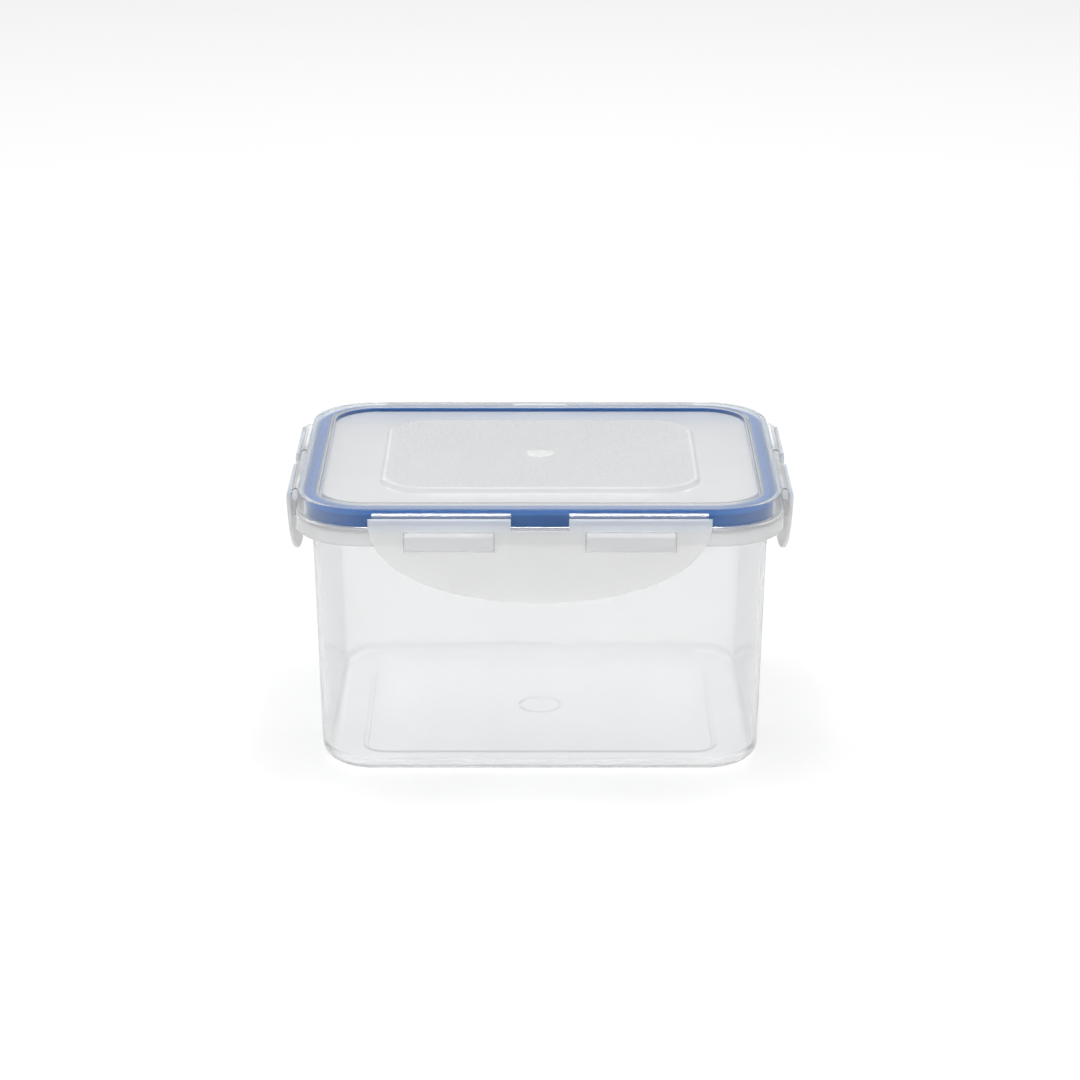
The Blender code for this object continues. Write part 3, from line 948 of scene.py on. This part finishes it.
class Surface:
    """A node material with a Principled shader and helpers to add moulded detail to it.

    Its plain colour and roughness are about the means of what the nodes linked later give.
    """

    def __init__(self, name, colour, roughness, transmission=0.0, ior=1.49):
        self.material = bpy.data.materials.new(name)
        self.material.use_nodes = True
        self.tree = self.material.node_tree
        self.shader = self.tree.nodes["Principled BSDF"]
        self.shader.inputs["Base Color"].default_value = (*colour, 1.0)
        self.shader.inputs["Roughness"].default_value = roughness
        self.shader.inputs["Transmission Weight"].default_value = transmission
        self.shader.inputs["IOR"].default_value = ior
        self.coordinates = self.tree.nodes.new("ShaderNodeTexCoord").outputs["Object"]

    def node(self, kind, **settings):
        node = self.tree.nodes.new(kind)
        for key, value in settings.items():
            setattr(node, key, value)
        return node

    def link(self, source, target):
        self.tree.links.new(source, target)

    def noise(self, scale, detail=3.0, stretch=(1.0, 1.0, 1.0)):
        """A noise whose features are about 1/scale metres wide, stretched along each axis."""
        mapping = self.node("ShaderNodeMapping")
        mapping.inputs["Scale"].default_value = stretch
        self.link(self.coordinates, mapping.inputs["Vector"])
        noise = self.node("ShaderNodeTexNoise")
        noise.inputs["Scale"].default_value = scale
        noise.inputs["Detail"].default_value = detail
        noise.inputs["Roughness"].default_value = 0.55
        self.link(mapping.outputs["Vector"], noise.inputs["Vector"])
        return noise.outputs["Fac"]

    def ranged(self, source, low, high, from_low=0.3, from_high=0.7):
        """A value carried from one range to another. Most of a noise lies in the range given."""
        scale = self.node("ShaderNodeMapRange")
        scale.inputs["From Min"].default_value = from_low
        scale.inputs["From Max"].default_value = from_high
        scale.inputs["To Min"].default_value = low
        scale.inputs["To Max"].default_value = high
        self.link(source, scale.inputs["Value"])
        return scale.outputs["Result"]

    def clouded(self, scale, shades):
        """A colour that drifts between two shades."""
        mix = self.node("ShaderNodeMix", data_type="RGBA")
        mix.inputs["A"].default_value = (*shades[0], 1.0)
        mix.inputs["B"].default_value = (*shades[1], 1.0)
        self.link(self.ranged(self.noise(scale), 0.0, 1.0), mix.inputs["Factor"])
        return mix.outputs["Result"]

    def over(self, factor, first, second):
        """A linked colour that gives way to a plain one."""
        mix = self.node("ShaderNodeMix", data_type="RGBA")
        self.link(first, mix.inputs["A"])
        mix.inputs["B"].default_value = (*second, 1.0)
        self.link(factor, mix.inputs["Factor"])
        return mix.outputs["Result"]

    def split_axis(self, axis):
        """A point's place along an axis."""
        split = self.node("ShaderNodeSeparateXYZ")
        self.link(self.coordinates, split.inputs["Vector"])
        return split.outputs[axis]

    def towards_ends(self, start, stop, low=0.0, high=1.0):
        """A value that changes with the distance from the middle along X, from start to stop."""
        distance = self.node("ShaderNodeMath", operation="ABSOLUTE")
        self.link(self.split_axis("X"), distance.inputs[0])
        return self.ranged(distance.outputs["Value"], low, high, start, stop)

    def graded(self, colour, axis, low, high, tints):
        """A colour with a tint that changes along an axis, from low to high."""
        share = self.ranged(self.split_axis(axis), 0.0, 1.0, low, high)
        return multiplied(self.tree, colour, ramp_colour(self.tree, share, tints))

    def paint(self, colour):
        self.link(colour, self.shader.inputs["Base Color"])

    def texture(self, grain, gloss, depth, strength=0.3):
        """Lets one noise move the roughness, within the range in gloss, and a fine relief."""
        self.link(self.ranged(grain, *gloss), self.shader.inputs["Roughness"])
        bump = self.node("ShaderNodeBump")
        bump.inputs["Distance"].default_value = depth
        bump.inputs["Strength"].default_value = strength
        self.link(grain, bump.inputs["Height"])
        self.link(bump.outputs["Normal"], self.shader.inputs["Normal"])

    def pass_light(self, share):
        """Lets part of the light through to what is behind, as thin polypropylene does."""
        clear = self.node("ShaderNodeBsdfTransparent")
        path = self.node("ShaderNodeLightPath")
        mix = self.node("ShaderNodeMixShader")
        dim = self.node("ShaderNodeMath", operation="MULTIPLY")
        dim.inputs[1].default_value = share
        self.link(path.outputs["Is Shadow Ray"], dim.inputs[0])
        self.link(dim.outputs["Value"], mix.inputs["Fac"])
        self.link(self.shader.outputs["BSDF"], mix.inputs[1])
        self.link(clear.outputs["BSDF"], mix.inputs[2])
        output = self.tree.nodes["Material Output"]
        self.link(mix.outputs["Shader"], output.inputs["Surface"])


def clear_polypropylene():
    """Glossy, faintly milky plastic with the slow waviness and flow lines of a deep moulding, and painted
    shade that greys it towards the short ends.
    """
    surface = Surface("clear polypropylene", (0.95, 0.957, 0.96), 0.08, transmission=0.87)
    colour = surface.clouded(BROAD_CLOUD, CLEAR_SHADES)
    # Painted shade: the colour turns greyer towards the tub's short ends.
    ends = surface.towards_ends(CLEAR_END_START, CLEAR_END_STOP)
    surface.paint(surface.over(ends, colour, CLEAR_END_PAINTED_SHADE))
    flow = surface.noise(60.0, detail=4.0, stretch=(0.5, 0.5, 0.25))
    surface.texture(flow, POLISHED, depth=0.005 * MM, strength=0.05)
    surface.pass_light(1.0)
    return surface.material


def satin_polypropylene(name, colour, shades, cloud, transmission):
    """Milky plastic with a satin grain, for the thicker parts of the tub, and in greyer shades as painted
    shade on the floor's lines.
    """
    surface = Surface(name, colour, 0.16, transmission=transmission)
    surface.paint(surface.clouded(cloud, shades))
    surface.texture(surface.noise(SATIN_GRAIN), SATIN, depth=0.005 * MM)
    surface.pass_light(0.9)
    return surface.material


def frosted_polypropylene():
    """The flaps' milky plastic with a fine matt grain, with a painted grey band where the flange would show
    through and the gasket's blue painted on towards the top.
    """
    surface = Surface("frosted polypropylene", (0.97, 0.97, 0.97), 0.35, transmission=0.47)
    colour = surface.clouded(SOFT_CLOUD, FROSTED_SHADES)
    # Painted show-through: a grey band for the flange and the gasket's blue near the top, by height.
    surface.paint(surface.graded(colour, "Z", FLAP_SHOW_THROUGH_LOW, FLAP_SHOW_THROUGH_HIGH, FLAP_PAINTED_SHOW_THROUGH))
    surface.texture(surface.noise(MATT_GRAIN, detail=2.0), (0.28, 0.42), depth=0.02 * MM)
    surface.pass_light(0.8)
    return surface.material


def lid_polypropylene():
    """The lid's milky ledge, with painted shade and a painted blue of the gasket that grow towards the rear,
    and a painted highlight in white on the raised centre's slope and the gate mark.
    """
    surface = Surface("lid polypropylene", (0.84, 0.85, 0.86), 0.2, transmission=0.4)
    colour = surface.clouded(SOFT_CLOUD, LID_SHADES)
    # Painted shade and blue: the ledge darkens and turns bluer towards the rear.
    colour = surface.graded(colour, "Y", -LID_PAINTED_REACH, LID_PAINTED_REACH, LEDGE_PAINTED_SHADE_AND_BLUE)
    # Painted highlight: above the ledge the colour turns white, on the raised centre's slope and the gate
    # mark.
    raised = surface.ranged(surface.split_axis("Z"), 0.0, 1.0, SLOPE_HIGHLIGHT_START, SLOPE_HIGHLIGHT_FULL)
    surface.paint(surface.over(raised, colour, PAINTED_HIGHLIGHT_WHITE))
    surface.texture(surface.noise(MATT_GRAIN, detail=2.0), (0.14, 0.24), depth=0.01 * MM)
    surface.pass_light(0.8)
    return surface.material


def bead_polypropylene():
    """The polished bead round the lid's edge, clear over the gasket and cloudier at its ends."""
    surface = Surface("bead polypropylene", (0.95, 0.96, 0.97), 0.08, transmission=1.0, ior=1.38)
    clarity = surface.towards_ends(LONG_FLAP_HALF, RIM_HALF_LENGTH, 1.0, 0.9)
    surface.link(clarity, surface.shader.inputs["Transmission Weight"])
    surface.paint(surface.clouded(SOFT_CLOUD, BEAD_SHADES))
    surface.texture(surface.noise(600.0), (0.06, 0.13), depth=0.005 * MM)
    surface.pass_light(1.0)
    return surface.material


def centre_polypropylene():
    """The lid's raised centre, a shade greyer than the ledge round it."""
    surface = Surface("centre polypropylene", (0.82, 0.83, 0.835), 0.2, transmission=0.4)
    surface.paint(surface.clouded(SOFT_CLOUD, CENTRE_SHADES))
    surface.texture(surface.noise(MATT_GRAIN, detail=2.0), (0.2, 0.3), depth=0.01 * MM)
    surface.pass_light(0.8)
    return surface.material


def crest_polypropylene():
    """The crest of the bead, milkier and greyer than the bead below, and clearer at its ends, with a painted
    blue there for the gasket seen through it.
    """
    surface = Surface("crest polypropylene", (0.86, 0.88, 0.91), 0.16, transmission=0.72)
    clarity = surface.towards_ends(LONG_FLAP_HALF, RIM_HALF_LENGTH, 0.72, 0.88)
    surface.link(clarity, surface.shader.inputs["Transmission Weight"])
    colour = surface.clouded(SOFT_CLOUD, CREST_SHADES)
    # Painted blue towards the short ends, for the gasket seen through the crest.
    ends = surface.towards_ends(LONG_FLAP_HALF, RIM_HALF_LENGTH)
    surface.paint(surface.over(ends, colour, CREST_END_PAINTED_BLUE))
    surface.texture(surface.noise(CREST_GRAIN), SATIN, depth=0.005 * MM)
    surface.pass_light(0.9)
    return surface.material


def edge_polypropylene():
    """The inner edge of the bead, with the gasket's blue painted on, strongest along the front and faint at
    the rear.
    """
    surface = Surface("inner edge painted blue", (0.6, 0.7, 0.84), 0.12, transmission=0.4)
    colour = surface.clouded(SOFT_CLOUD, EDGE_SHADES)
    surface.paint(surface.graded(colour, "Y", -LID_PAINTED_REACH, LID_PAINTED_REACH, EDGE_PAINTED_BLUE))
    surface.texture(surface.noise(CREST_GRAIN), (0.1, 0.16), depth=0.005 * MM)
    surface.pass_light(0.9)
    return surface.material


def film_polypropylene():
    """The strips of film, stretched clear and smooth by folding."""
    surface = Surface("film polypropylene", (0.95, 0.96, 0.97), 0.1, transmission=0.94)
    grain = surface.noise(900.0, stretch=(0.2, 0.2, 1.0))
    surface.texture(grain, (0.05, 0.12), depth=0.01 * MM, strength=0.15)
    surface.pass_light(0.9)
    return surface.material


def blue_silicone():
    """Opaque soft rubber with a dusty sheen and a fine, slightly mottled skin."""
    surface = Surface("blue silicone", (0.012, 0.125, 0.41), 0.4)
    surface.paint(surface.clouded(350.0, SILICONE_SHADES))
    surface.texture(surface.noise(2500.0), (0.34, 0.5), depth=0.02 * MM, strength=0.4)
    surface.shader.inputs["Specular IOR Level"].default_value = 0.25
    return surface.material


def studio_floor():
    """A pale matt floor with a faint glow, so that it stays as white as the backdrop."""
    surface = Surface("studio floor", (0.79, 0.79, 0.79), 0.7)
    surface.paint(surface.clouded(2.0, FLOOR_SHADES))
    surface.shader.inputs["Emission Color"].default_value = (1.0, 1.0, 1.0, 1.0)
    surface.shader.inputs["Emission Strength"].default_value = FLOOR_GLOW
    return surface.material


# ---------------------------------------------------------------- studio


def make_floor():
    """The floor, a hair below the tub's foot."""
    shape = bmesh.new()
    bmesh.ops.create_circle(shape, cap_ends=True, segments=96, radius=FLOOR_RADIUS)
    mesh = bpy.data.meshes.new("floor")
    shape.to_mesh(mesh)
    shape.free()
    floor = add_piece("floor", mesh, studio_floor())
    floor.location.z = -FLOOR_DROP


def add_softbox(name, place, size, power):
    """A rectangular area light aimed at the middle of the object."""
    light = bpy.data.lights.new(name, "AREA")
    light.shape = "RECTANGLE"
    light.size, light.size_y = size
    light.energy = power
    softbox = bpy.data.objects.new(name, light)
    softbox.location = place
    aim = Vector(LIGHT_AIM) - Vector(place)
    softbox.rotation_euler = aim.to_track_quat("-Z", "Y").to_euler()
    bpy.context.scene.collection.objects.link(softbox)


def make_world():
    """A white studio, brightest overhead, greyer towards the horizon and darker on the right."""
    world = bpy.data.worlds.new("studio")
    bpy.context.scene.world = world
    world.use_nodes = True
    tree = world.node_tree
    background = tree.nodes["Background"]
    direction = tree.nodes.new("ShaderNodeTexCoord").outputs["Generated"]
    split = tree.nodes.new("ShaderNodeSeparateXYZ")
    tree.links.new(direction, split.inputs["Vector"])
    height = ramp_colour(tree, split.outputs["Z"], WORLD_HEIGHT_SHADES)
    side = ramp_colour(tree, split.outputs["X"], WORLD_SIDE_SHADES)
    tree.links.new(multiplied(tree, height, side), background.inputs["Color"])
    background.inputs["Strength"].default_value = WORLD_STRENGTH


def make_camera():
    """The camera, a metre in front of the box and looking down at it."""
    camera = bpy.data.cameras.new("camera")
    camera.lens = CAMERA_LENS
    camera.sensor_width = CAMERA_SENSOR
    stand = bpy.data.objects.new("camera", camera)
    stand.location = (0.0, -CAMERA_BACK, CAMERA_HEIGHT)
    stand.rotation_euler = (math.pi / 2 - CAMERA_DOWN, 0.0, 0.0)
    bpy.context.scene.collection.objects.link(stand)
    bpy.context.scene.camera = stand


def main():
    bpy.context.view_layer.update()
    make_tub(
        clear_polypropylene(),
        satin_polypropylene("rim polypropylene", RIM_MEAN, RIM_SHADES, SOFT_CLOUD, 0.6),
        satin_polypropylene("foot polypropylene", RIM_MEAN, RIM_SHADES, BROAD_CLOUD, 0.66),
        satin_polypropylene("floor line painted shade", FLOOR_LINE_PAINTED_MEAN, FLOOR_LINE_PAINTED_SHADES, BROAD_CLOUD, 0.6),
    )
    make_lid(
        lid_polypropylene(),
        bead_polypropylene(),
        centre_polypropylene(),
        crest_polypropylene(),
        edge_polypropylene(),
    )
    make_gasket(blue_silicone())
    make_flaps(frosted_polypropylene(), film_polypropylene())
    make_floor()
    make_world()
    for name, place, size, power in SOFTBOXES:
        add_softbox(name, place, size, power)
    make_camera()
    bpy.context.scene.view_settings.view_transform = "Standard"


main()
